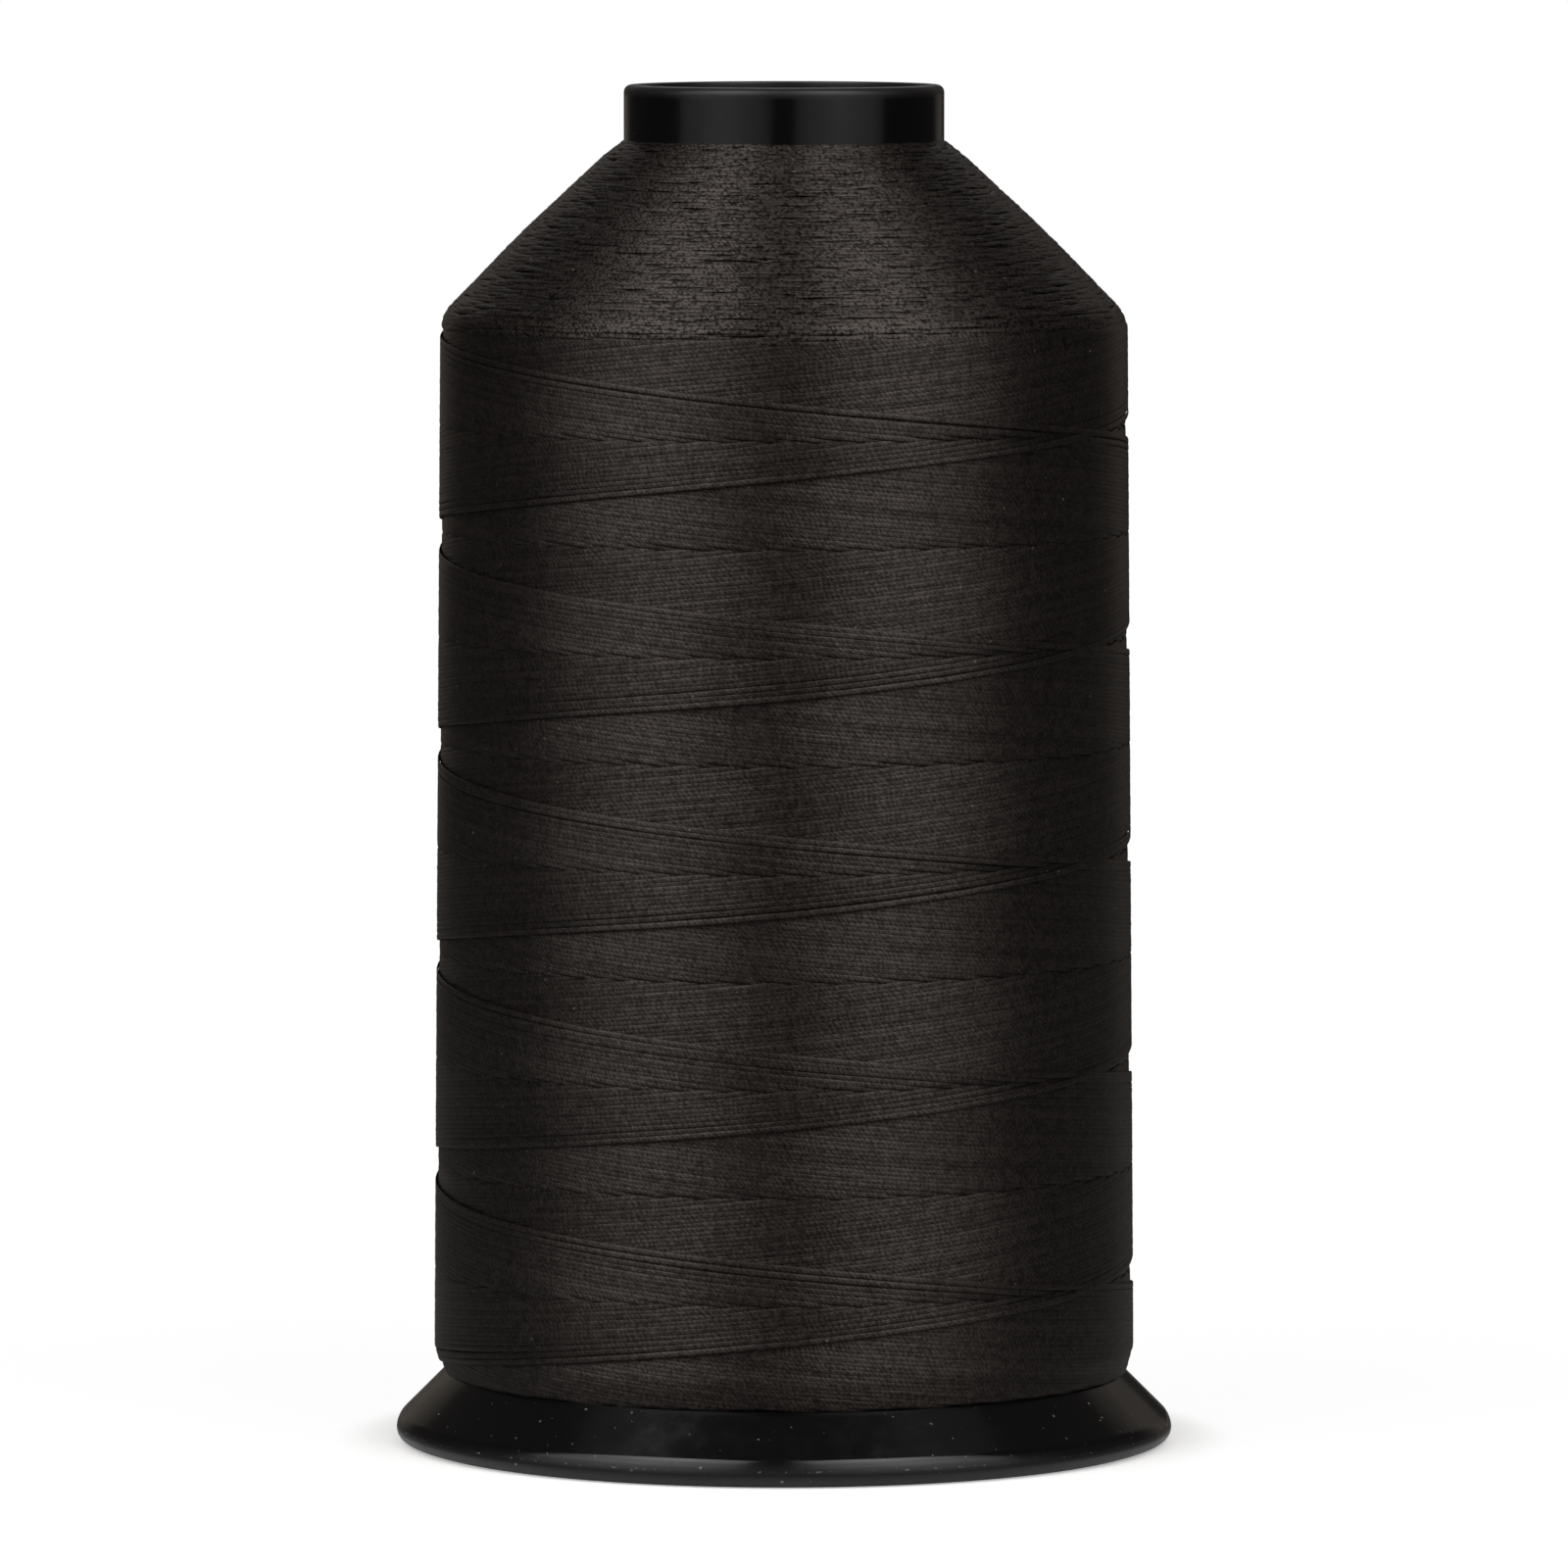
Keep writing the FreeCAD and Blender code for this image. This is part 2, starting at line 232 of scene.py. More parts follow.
def srgb(code):
    """A linear colour with alpha from an sRGB hex value."""
    channels = [int(code[i:i + 2], 16) / 255 for i in (1, 3, 5)]
    return (*[c / 12.92 if c <= 0.04045 else ((c + 0.055) / 1.055) ** 2.4 for c in channels], 1.0)


WHITE = srgb("#ffffff")
WARM_WHITE = srgb("#fff2e0")
WORLD_FILL = srgb("#6a6662")
THREAD_DUST = srgb("#6d675f")
# Tints of the thread's sheen in painted shade and in painted light
SHADED_SHEEN = srgb("#6c6561")
LIT_SHEEN = srgb("#ffefe5")


def length(name, description, millimetres):
    """A length property whose default is given in millimetres."""
    return FloatProperty(
        name=name, description=description, default=millimetres * MM, unit="LENGTH", precision=5)


def colour(name, description, code):
    """A colour property whose default is given as an sRGB hex value."""
    return FloatVectorProperty(
        name=name, description=description, default=srgb(code), subtype="COLOR", size=4,
        min=0, max=1)


def level(name, description, default):
    """A property for a light level or another plain number."""
    return FloatProperty(name=name, description=description, default=default)


class PlasticSettings(bpy.types.PropertyGroup):
    """Sizes and colours of the moulded tube and foot."""

    tube_radius: length("Tube radius", "Outer radius of the tube", 19.8)
    tube_wall: length("Tube wall", "Thickness of the tube's wall", 2.2)
    tube_fit: length("Tube fit", "Clearance between the tube and the foot's sleeve", 0.1)
    seat_height: length("Seat height", "Height of the ledge that the tube stands on", 6.0)
    nose_round: length("Nose rounding", "Rounding of the nose's outer edge", 0.95)
    foot_wall: length("Foot wall", "Thickness of the foot's skirt", 2.0)
    skirt_start: length("Skirt start", "Height at which the skirt's cone starts at the rim", 2.78)
    parting_line: length(
        "Parting line", "Height of the torn flash along the mould's parting line", 2.1)
    plastic: colour("Plastic", "Colour of the moulded plastic", "#0a090a")
    rubbed: colour("Rubbed plastic", "Colour of the plastic where it is rubbed grey", "#1b191b")
    dust: colour("Dust", "Colour of the specks of dust and lint", "#8f887e")


class ThreadSettings(bpy.types.PropertyGroup):
    """The bonded thread and how it is laid on the pack."""

    width: length("Width", "Width of one laid thread", 0.8)
    thickness: length("Thickness", "Thickness of one laid thread, pressed flat", 0.14)
    ply_spacing: length("Ply spacing", "Distance along the thread from one ply to the next", 0.66)
    lead: length("Lead", "Height that the thread gains in one turn", 26.17)
    per_lead: IntProperty(
        name="Threads in a lead", description="Threads side by side in the height of one lead",
        default=49, min=2)
    layer: length("Layer", "Height of one layer on the one below", 0.36)
    falling_front: length(
        "Falling front", "Height of the youngest falling thread at the front", 130.1)
    rising_front: length(
        "Rising front", "Height of the youngest rising thread at the front", 122.1)
    upper_edge: length(
        "Upper edge", "Height at which the rising and falling lines meet at the top", 139.185)
    lower_edge: length(
        "Lower edge", "Height at which the falling and rising lines meet at the foot", 8.335)
    turn_back: level(
        "Turn back", "Share of a turn in which a thread's rise eases to nothing", 0.048)
    stray: length("Stray", "Greatest extra gap between the youngest threads of a front", 0.42)
    wander: length("Wander", "How far a thread wanders from its line", 0.035)
    end_width: length(
        "End width", "Width of one thread where it turns back at the pack's ends", 0.68)
    round_rise: length(
        "Round rise", "Distance up the shoulder from one round of turn-backs to the next", 0.55)
    dyed: colour("Thread", "Colour of the dyed thread", "#0c0a09")


class StudioSettings(bpy.types.PropertyGroup):
    """The camera and the studio's light levels, where 1 is the brightness of white."""

    low_light: level("Low light", "Radiance of the softboxes near the table", 0.48)
    middle_light: level("Middle light", "Radiance of the softboxes' middle", 1.1)
    high_light: level("High light", "Radiance of the softboxes' upper part", 2.2)
    top_light: level("Top light", "Radiance of the softboxes' top", 3.3)
    side_light: level("Side light", "Radiance of the lights high at the sides", 0.1)
    back_light: level("Back light", "Radiance of the lights behind, at the sides", 0.13)
    backdrop: level("Backdrop", "Radiance of the backdrop that the nose mirrors", 0.9)
    room: colour("Room", "Colour of the dim room that the plastic mirrors", "#2b2928")
    table: colour("Table", "Colour of the pale table top at the spool's foot", "#f0f0f0")
    # Painted shade: the board farther off is painted darker, for the lesser light that falls there
    far_table_shade: colour(
        "Far table", "Colour of the table top farther off, where less light falls", "#5c5c5c")
    table_glow: level("Table glow", "How far the camera sees the table lighter at the foot", 0.36)
    far_glow: level("Far glow", "How far the camera sees the table lighter farther off", 0.93)
    lens: FloatProperty(
        name="Lens", description="Focal length of the camera in millimetres", default=286.7, min=1)
    tilt: FloatProperty(
        name="Tilt", description="How far the camera looks down", default=math.radians(4.505),
        unit="ROTATION")
    distance: length("Distance", "Distance of the camera from the spool's axis", 1544)
    height: length("Height", "Height of the camera over the table", 203.3)


def add_node(tree, kind, inputs=None, **settings):
    """Adds a node with its settings. An input takes a value, an output or a node's first one."""
    node = tree.nodes.new(kind)
    for name, value in settings.items():
        setattr(node, name, value)
    for name, value in (inputs or {}).items():
        if isinstance(value, bpy.types.Node):
            value = value.outputs[0]
        if isinstance(value, bpy.types.NodeSocket):
            tree.links.new(value, node.inputs[name])
        else:
            node.inputs[name].default_value = value
    return node


def new_material(name):
    """A node material with nothing in it yet."""
    material = bpy.data.materials.new(name)
    material.use_nodes = True
    material.node_tree.nodes.clear()
    return material


def finish_surface(material, shader):
    """Feeds a material's output from its shader."""
    add_node(material.node_tree, "ShaderNodeOutputMaterial", {"Surface": shader})
    return material


def strengthened(tint, share):
    """A colour made lighter or darker by a share."""
    return (*[share * channel for channel in tint[:3]], 1.0)


def dust_specks(tree, place, spacing, size):
    """A node that gives up to 1 on ragged specks of dust up to size across and 0 elsewhere."""
    ragged = add_node(tree, "ShaderNodeTexNoise", {
        "Vector": place, "Scale": 2.0 / size, "Detail": 1.0})
    torn_place = add_node(tree, "ShaderNodeVectorMath", {
        0: ragged.outputs["Color"], 1: (size, size, size), 2: place}, operation="MULTIPLY_ADD")
    cells = add_node(tree, "ShaderNodeTexVoronoi", {
        "Vector": torn_place, "Scale": 1 / spacing}, feature="F1")
    pick = add_node(tree, "ShaderNodeSeparateColor", {"Color": cells.outputs["Color"]})
    reach = add_node(tree, "ShaderNodeMath", {
        0: pick.outputs["Red"], 1: size / 2 / spacing}, operation="MULTIPLY")
    speck = add_node(tree, "ShaderNodeMath", {
        0: cells.outputs["Distance"], 1: reach}, operation="LESS_THAN")
    return add_node(tree, "ShaderNodeMath", {
        0: speck, 1: pick.outputs["Green"]}, operation="MULTIPLY")


def moulded_polystyrene(
        name, plastic, roughness, scuffs, dust_spacing, flash_height, worn_from, worn_to):
    """Black polystyrene from a polished mould.

    The eye gets mirrored lamps with soft edges that waver a little, fine scuffs, specks of dust,
    a pale torn line of flash at one height, and a greyer, duller skin where the plastic is rubbed.
    """
    material = new_material(name)
    tree = material.node_tree
    place = add_node(tree, "ShaderNodeTexCoord").outputs["Object"]
    sink = add_node(tree, "ShaderNodeTexNoise", {
        "Vector": place, "Scale": 1 / SINK_SIZE, "Detail": 1.0})
    sink_bump = add_node(tree, "ShaderNodeBump", {
        "Strength": 1.0, "Distance": SINK_DEPTH, "Height": sink})
    grain = add_node(tree, "ShaderNodeTexNoise", {
        "Vector": place, "Scale": 1 / GRAIN_SIZE, "Detail": 2.0})
    grain_bump = add_node(tree, "ShaderNodeBump", {
        "Strength": 1.0, "Distance": GRAIN_DEPTH, "Height": grain, "Normal": sink_bump})
    wear = add_node(tree, "ShaderNodeTexNoise", {
        "Vector": place, "Scale": 1 / SCUFF_SIZE, "Detail": 6.0, "Roughness": 0.7})
    dulled = add_node(tree, "ShaderNodeMapRange", {
        "Value": wear, "From Min": 0.45, "From Max": 0.75,
        "To Min": roughness, "To Max": roughness + scuffs})
    height = add_node(tree, "ShaderNodeSeparateXYZ", {0: place}).outputs["Z"]
    rubbed = add_node(tree, "ShaderNodeMapRange", {
        "Value": height, "From Min": worn_from, "From Max": worn_to})
    rough = add_node(tree, "ShaderNodeMath", {
        0: rubbed, 1: RUBBED_ROUGHNESS, 2: dulled}, operation="MULTIPLY_ADD")
    greyed = add_node(tree, "ShaderNodeMix", {
        0: rubbed, 6: tuple(plastic.plastic), 7: tuple(plastic.rubbed)}, data_type="RGBA")
    speck = dust_specks(tree, place, dust_spacing, PLASTIC_SPECK)
    on_line = add_node(tree, "ShaderNodeMath", {
        0: height, 1: flash_height, 2: FLASH_REACH}, operation="COMPARE")
    torn = add_node(tree, "ShaderNodeTexNoise", {
        "Vector": place, "Scale": 1 / FLASH_TEAR, "Detail": 3.0})
    torn_here = add_node(tree, "ShaderNodeMapRange", {
        "Value": torn, "From Min": 0.57, "From Max": 0.75})
    flash = add_node(tree, "ShaderNodeMath", {0: on_line, 1: torn_here}, operation="MULTIPLY")
    pale = add_node(tree, "ShaderNodeMath", {0: speck, 1: flash}, operation="MAXIMUM")
    tinted = add_node(tree, "ShaderNodeMix", {
        0: pale, 6: greyed.outputs[2], 7: tuple(plastic.dust)}, data_type="RGBA")
    shader = add_node(tree, "ShaderNodeBsdfPrincipled", {
        "Base Color": tinted.outputs[2],
        "Roughness": rough,
        "IOR": POLYSTYRENE_IOR,
        "Normal": grain_bump,
    })
    return finish_surface(material, shader)


def bonded_nylon(name, thread, darkest, lightest):
    """Bonded nylon thread, three plies twisted together under a thin film and dyed a warm black.

    The eye gets a satin sheen drawn out across the threads, slanting marks of the plies with
    painted highlights on their crests and painted shade in their grooves, threads and patches a
    little lighter or darker than others, painted glints of filaments and specks of lint. The colour
    and the sheen's tint run from a painted shade to a painted light.
    """
    material = new_material(name)
    tree = material.node_tree
    lay = add_node(tree, "ShaderNodeUVMap", uv_map="thread_lay")
    lay_part = add_node(tree, "ShaderNodeSeparateXYZ", {0: lay})
    place = add_node(tree, "ShaderNodeTexCoord").outputs["Object"]
    loose = add_node(tree, "ShaderNodeTexNoise", {
        "Vector": place, "Scale": 1 / LOOSE_PLY_SIZE, "Detail": 1.0})
    shifted = add_node(tree, "ShaderNodeMath", {0: loose, 1: LOOSE_PLY_SHIFT}, operation="MULTIPLY")
    plies_round = add_node(tree, "ShaderNodeMath", {
        0: lay_part.outputs["Y"], 1: -PLIES * math.pi, 2: shifted}, operation="MULTIPLY_ADD")
    plies = add_node(tree, "ShaderNodeMath", {
        0: lay_part.outputs["X"], 1: math.pi / thread.ply_spacing, 2: plies_round},
        operation="MULTIPLY_ADD")
    wave = add_node(tree, "ShaderNodeMath", {0: plies}, operation="SINE")
    crest = add_node(tree, "ShaderNodeMath", {0: wave}, operation="ABSOLUTE")
    ply = add_node(tree, "ShaderNodeMapRange", {
        "Value": crest, "From Min": 0.1, "From Max": 0.9}, interpolation_type="SMOOTHSTEP")
    ply_bump = add_node(tree, "ShaderNodeBump", {
        "Strength": 1.0, "Distance": PLY_DEPTH, "Height": ply})
    tone = add_node(tree, "ShaderNodeAttribute", attribute_name="tone").outputs["Fac"]
    mottle = add_node(tree, "ShaderNodeTexNoise", {
        "Vector": place, "Scale": 1 / MOTTLE_SIZE, "Detail": 4.0})
    mottled = add_node(tree, "ShaderNodeMapRange", {
        "Value": mottle, "From Min": 0.3, "From Max": 0.7, "To Min": 0.65, "To Max": 1.15})
    # Painted glints of the filaments, with lighter and darker flecks over the thread
    fibre_glint_noise = add_node(tree, "ShaderNodeTexNoise", {
        "Vector": place, "Scale": 1 / FIBRE_SIZE, "Detail": 1.0})
    painted_glints = add_node(tree, "ShaderNodeMapRange", {
        "Value": fibre_glint_noise, "From Min": 0.35, "From Max": 0.65, "To Min": darkest, "To Max": lightest})
    # Painted highlight on the ply crests, painted shade in their grooves
    on_ply = add_node(tree, "ShaderNodeMath", {
        0: ply, 1: PLY_LIGHTENING, 2: PLY_FLOOR}, operation="MULTIPLY_ADD")
    on_thread = add_node(tree, "ShaderNodeMath", {0: on_ply, 1: tone}, operation="MULTIPLY")
    on_fibre = add_node(tree, "ShaderNodeMath", {0: on_thread, 1: painted_glints}, operation="MULTIPLY")
    shade = add_node(tree, "ShaderNodeMath", {
        0: on_fibre, 1: mottled}, operation="MULTIPLY", use_clamp=True)
    # The colour runs from painted shade to painted light
    painted_shading = add_node(tree, "ShaderNodeMix", {
        0: shade, 6: strengthened(thread.dyed, PAINTED_SHADE_SHARE), 7: strengthened(thread.dyed, PAINTED_LIGHT_SHARE)},
        data_type="RGBA")
    speck = dust_specks(tree, place, THREAD_SPECK_SPACING, THREAD_SPECK)
    dusty = add_node(tree, "ShaderNodeMix", {
        0: speck, 6: painted_shading.outputs[2], 7: THREAD_DUST}, data_type="RGBA")
    along_thread = add_node(
        tree, "ShaderNodeTangent", direction_type="UV_MAP", uv_map="thread_lay")
    # The sheen's tint carries the same painted shade and light
    sheen = add_node(tree, "ShaderNodeMix", {
        0: shade, 6: SHADED_SHEEN, 7: LIT_SHEEN}, data_type="RGBA")
    shader = add_node(tree, "ShaderNodeBsdfPrincipled", {
        "Base Color": dusty.outputs[2],
        "Roughness": 0.43,
        "IOR": NYLON_IOR,
        "Specular IOR Level": 1.0,
        "Specular Tint": sheen.outputs[2],
        "Anisotropic": 0.8,
        "Anisotropic Rotation": 0.25,
        "Tangent": along_thread,
        "Normal": ply_bump,
    })
    return finish_surface(material, shader)


def buried_nylon(thread):
    """The same thread where others cover it, a shaded copy painted darker than the threads on top.

    The eye gets dull ridges with painted shade in the troughs between them.
    """
    material = new_material("buried_nylon_thread")
    tree = material.node_tree
    place = add_node(tree, "ShaderNodeTexCoord").outputs["Object"]
    turns = add_node(tree, "ShaderNodeTexWave", {
        "Vector": place, "Scale": WAVE_BAND / thread.width, "Distortion": 0.4, "Detail": 1.0},
        bands_direction="Z")
    ridge = turns.outputs["Fac"]
    bump = add_node(tree, "ShaderNodeBump", {
        "Strength": 1.0, "Distance": RIDGE_DEPTH, "Height": ridge})
    painted_shading = add_node(tree, "ShaderNodeMix", {
        0: ridge, 6: strengthened(thread.dyed, BURIED_SHADE_SHARE), 7: tuple(thread.dyed)},
        data_type="RGBA")
    shader = add_node(tree, "ShaderNodeBsdfPrincipled", {
        "Base Color": painted_shading.outputs[2],
        "Roughness": 0.6,
        "IOR": NYLON_IOR,
        "Normal": bump,
    })
    return finish_surface(material, shader)


def white_table(studio):
    """Smooth white board, which the camera sees burnt out to white round the faint shadow. Beyond
    the foot it is painted darker, a painted shade for the lesser light that falls there.
    """
    material = new_material("white_board")
    tree = material.node_tree
    place = add_node(tree, "ShaderNodeTexCoord").outputs["Object"]
    away = add_node(tree, "ShaderNodeVectorMath", {0: place}, operation="LENGTH").outputs["Value"]
    far = add_node(tree, "ShaderNodeMapRange", {
        "Value": away, "From Min": FOOT_EDGE, "From Max": FOOT_EDGE + TABLE_FADE},
        interpolation_type="SMOOTHSTEP")
    bleached = add_node(tree, "ShaderNodeMapRange", {
        "Value": far, "To Min": studio.table_glow, "To Max": studio.far_glow})
    rays = add_node(tree, "ShaderNodeLightPath")
    mirrored = add_node(tree, "ShaderNodeMath", {
        0: rays.outputs["Is Glossy Ray"], 1: rays.outputs["Is Transmission Ray"]}, operation="ADD")
    faint = add_node(tree, "ShaderNodeMath", {
        0: mirrored, 1: MIRRORED_TABLE}, operation="MULTIPLY")
    strength = add_node(tree, "ShaderNodeMath", {
        0: rays.outputs["Is Camera Ray"], 1: bleached, 2: faint}, operation="MULTIPLY_ADD")
    glow = add_node(tree, "ShaderNodeEmission", {"Color": WHITE, "Strength": strength})
    # Beyond the foot the board is painted darker: painted shade for the lesser light there, which
    # the thread mirrors
    table_paint_and_shade = add_node(tree, "ShaderNodeMix", {
        0: far, 6: tuple(studio.table), 7: tuple(studio.far_table_shade)}, data_type="RGBA")
    board = add_node(tree, "ShaderNodeBsdfDiffuse", {"Color": table_paint_and_shade.outputs[2], "Roughness": 0.5})
    return finish_surface(material, add_node(tree, "ShaderNodeAddShader", {0: glow, 1: board}))


def dim_room(studio):
    """The dim walls round the studio, a little lighter towards the ceiling."""
    material = new_material("dim_room")
    tree = material.node_tree
    place = add_node(tree, "ShaderNodeTexCoord").outputs["Object"]
    height = add_node(tree, "ShaderNodeSeparateXYZ", {0: place}).outputs["Z"]
    raised = add_node(tree, "ShaderNodeMath", {0: height, 1: 0.0}, operation="MAXIMUM")
    strength = add_node(tree, "ShaderNodeMath", {
        0: raised, 1: ROOM_RISE, 2: 1.0}, operation="MULTIPLY_ADD")
    glow = add_node(tree, "ShaderNodeEmission", {"Color": tuple(studio.room), "Strength": strength})
    return finish_surface(material, glow)


def new_piece(name, bm, material):
    """Turns a bmesh into a smooth piece that rides on the spool."""
    mesh = bpy.data.meshes.new(name)
    bm.to_mesh(mesh)
    bm.free()
    piece = bpy.data.objects.new(name, mesh)
    bpy.context.scene.collection.objects.link(piece)
    mesh.materials.append(material)
    mesh.shade_smooth()
    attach(piece, BODY)
    return piece


def lathe(corners):
    """A bmesh turned about the axis from a closed section of corners (radius, height, rounding)."""
    bm = bmesh.new()
    verts = [bm.verts.new((radius, 0, height)) for radius, height, _ in corners]
    for first, second in zip(verts, verts[1:] + verts[:1]):
        bm.edges.new((first, second))
    reaches = []
    for index, vert in enumerate(verts):
        before = (verts[index - 1].co - vert.co).normalized()
        after = (verts[(index + 1) % len(verts)].co - vert.co).normalized()
        reaches.append(corners[index][2] / math.tan(before.angle(after) / 2))
    for vert, reach in zip(verts, reaches):
        if reach:
            bmesh.ops.bevel(
                bm, geom=[vert], offset=reach, offset_type="OFFSET", segments=CORNER_STEPS,
                profile=0.5, affect="VERTICES", material=-1)
    bmesh.ops.spin(
        bm, geom=bm.verts[:] + bm.edges[:], cent=ORIGIN, axis=AXIS, angle=math.tau,
        steps=LATHE_STEPS, use_merge=True)
    bmesh.ops.recalc_face_normals(bm, faces=bm.faces)
    return bm


def keep_edges_crisp(piece):
    """Smooth shading that stays flat on flat faces and crisp at sharp corners."""
    piece.data.set_sharp_from_angle(angle=CRISP_ANGLE)
    crisp = piece.modifiers.new("crisp_edges", "WEIGHTED_NORMAL")
    crisp.keep_sharp = True


class PackSurface:
    """The pack's outside: its tuck at the foot, body, shoulder and end on the tube.

    It is a section line from the skirt to the tube that is turned about the axis.
    """

    def __init__(self):
        corners = [[value * MM for value in corner] for corner in PACK_CORNERS]
        line = np.array([(radius, height) for radius, height, _ in corners])
        points = [line[:1]]
        for index in range(1, len(corners) - 1):
            here, rounding = line[index], corners[index][2]
            before = (line[index - 1] - here) / np.linalg.norm(line[index - 1] - here)
            after = (line[index + 1] - here) / np.linalg.norm(line[index + 1] - here)
            half = math.acos(before @ after) / 2
            reach = rounding / math.tan(half)
            share = np.linspace(0, 1, ROUNDING_POINTS)[:, None]
            points.append(here + before * reach * (1 - share) ** 2 + after * reach * share ** 2)
        points.append(line[-1:])
        points = np.concatenate(points)
        steps = np.linalg.norm(np.diff(points, axis=0), axis=1)
        reached = np.concatenate([[0], np.cumsum(steps)])
        self.along = np.linspace(0, reached[-1], LINE_POINTS)
        self.radius = np.interp(self.along, reached, points[:, 0])
        self.height = np.interp(self.along, reached, points[:, 1])
        way = np.gradient(np.stack([self.radius, self.height]), self.along, axis=1)
        self.lean = np.unwrap(np.arctan2(-way[0], way[1]))

    def along_at(self, height):
        """How far along the line a height is reached."""
        return np.interp(height, self.height, self.along)

    def radius_at(self, along):
        """Radius of the line so far along it."""
        return np.interp(along, self.along, self.radius)

    def lean_at(self, along):
        """How far the outward direction points up, as an angle."""
        return np.interp(along, self.along, self.lean)

    def points(self, turn, along, lift):
        """Points at a turn round the axis, a way along the line and a lift off the surface."""
        lean = self.lean_at(along)
        radius = self.radius_at(along) + lift * np.cos(lean)
        height = np.interp(along, self.along, self.height) + lift * np.sin(lean)
        angle = turn * math.tau
        return np.stack([radius * np.sin(angle), -radius * np.cos(angle), height], axis=1)


def drift(turn, random, slow, fast):
    """A smooth random line through some turns, within 1 of 0, of slow to fast waves a turn."""
    total = np.zeros_like(turn)
    rates = np.geomspace(slow, fast, 4) * random.uniform(0.85, 1.15, 4)
    for rate in rates:
        total += np.sin(math.tau * (turn * rate + random.uniform()))
    return total / len(rates)


def stray_gap(thread, part, seed, turn):
    """Extra gap, at some turns, between two of the youngest threads of a front."""
    wave = drift(turn, np.random.default_rng(seed), slow=0.4, fast=3.0)
    return thread.stray * part * (0.4 + 0.9 * wave).clip(0, 1)


def smoothed(values):
    """The values with their steps eased over a few of them."""
    for _ in range(2):
        padded = np.pad(values, 1, mode="edge")
        values = (padded[:-2] + 2 * padded[1:-1] + padded[2:]) / 4
    return values


def shown_spans(shown):
    """First and end steps of each span that shows, with the few steps before it and one after."""
    kept = shown.copy()
    for step in range(1, STEPS_BEFORE + 1):
        kept[:-step] |= shown[step:]
    kept[1:] |= shown[:-1]
    bounds = np.flatnonzero(np.diff(np.concatenate([[0], kept.astype(int), [0]])))
    return [span for span in zip(bounds[::2], bounds[1::2]) if span[1] - span[0] >= LEAST_STEPS]


def body_line(thread, way, index):
    """Turns of one thread's line over the body, their turns from the nearer edge and heights."""
    lead, bend = thread.lead, thread.turn_back
    pitch = lead / thread.per_lead
    turns = (thread.upper_edge - thread.lower_edge) / lead
    if way < 0:
        start = (thread.falling_front - index * pitch - thread.upper_edge) / lead
        first_height = thread.upper_edge
    else:
        start = (thread.lower_edge - thread.rising_front - index * pitch) / lead
        first_height = thread.lower_edge
    first = math.ceil(start * TURN_STEPS) - EXTRA_STEPS
    last = math.floor((start + turns) * TURN_STEPS) + EXTRA_STEPS
    turn = np.arange(first, last + 1) / TURN_STEPS
    run, left = turn - start, start + turns - turn
    starting = np.where(run < bend, (bend - run) ** 2, 0)
    ending = np.where(left < bend, (bend - left) ** 2, 0)
    height = first_height + way * lead * (run + (starting - ending) / (2 * bend))
    return turn, np.minimum(run, left), height


def body_runs(thread, surface, way, random):
    """The runs of thread that show on the body, of the threads that rise (1) or fall (-1).

    A thread's age counts back from the youngest of its front, from 0 to 1 over one lead. Where two
    families cross, the younger thread lies on top and the other is buried by one layer more.
    """
    count = thread.per_lead
    fronts_apart = (thread.falling_front - thread.rising_front) / thread.lead
    strays = [(part, int(random.integers(1 << 30))) for part in STRAY_PARTS]
    runs = []
    for index in range(count):
        turn, edge, height = body_line(thread, way, index)
        age = index / count
        other_age = (fronts_apart - 2 * turn - age) % 1.0
        over = count * (other_age - age) + way * 0.5 * (edge / APART_SHARE).clip(0, 1)
        over = np.where((edge < TURNING_SHARE) & (np.abs(over) > count / 2), 0.0, over)
        over = over + UNEVEN_SINKING * drift(turn, random, slow=5, fast=20)
        buried = (0.5 - over).clip(0, 1)
        buried = buried * buried * (3 - 2 * buried)
        lift = thread.layer * (1 - age - other_age - buried) - thread.thickness / 2
        lift = smoothed(lift) - EDGE_DIVE * -edge.clip(None, 0) / DIVE_SHARE
        away = sum(stray_gap(thread, part, seed, turn) for part, seed in strays[index:])
        height = height - way * away * (edge / STRAY_SHARE).clip(0, 1)
        height = height + thread.wander * drift(turn, random, slow=4, fast=30)
        uneven = random.normal(0, EDGE_JITTER)
        height = height + uneven * np.exp(-(edge.clip(0, None) / JITTER_SHARE) ** 2)
        lift = lift + LIFT_WANDER * drift(turn, random, slow=3, fast=25)
        tone = random.uniform(*BODY_TONES)
        for begin, end in shown_spans((over > -HIDDEN_THREADS) | (edge < APART_SHARE)):
            along = surface.along_at(height[begin:end])
            runs.append(thread_run(
                surface, turn[begin:end], along, lift[begin:end], thread.width, tone))
    return runs


def thread_run(surface, turn, along, lift, width, tone):
    """One run of thread as arrays, its two ends sunk a little into the pack."""
    sunk = lift.copy()
    for index, depth in enumerate(END_SINKS):
        sunk[index] -= depth
        sunk[-1 - index] -= depth
    travelled = (turn - turn[0]) * math.tau * surface.radius_at(along).mean() + PHASE_LENGTH * tone
    every = np.ones_like(turn)
    return {
        "turn": turn, "along": along, "lift": sunk, "width": width * every, "tone": tone * every,
        "travelled": travelled}


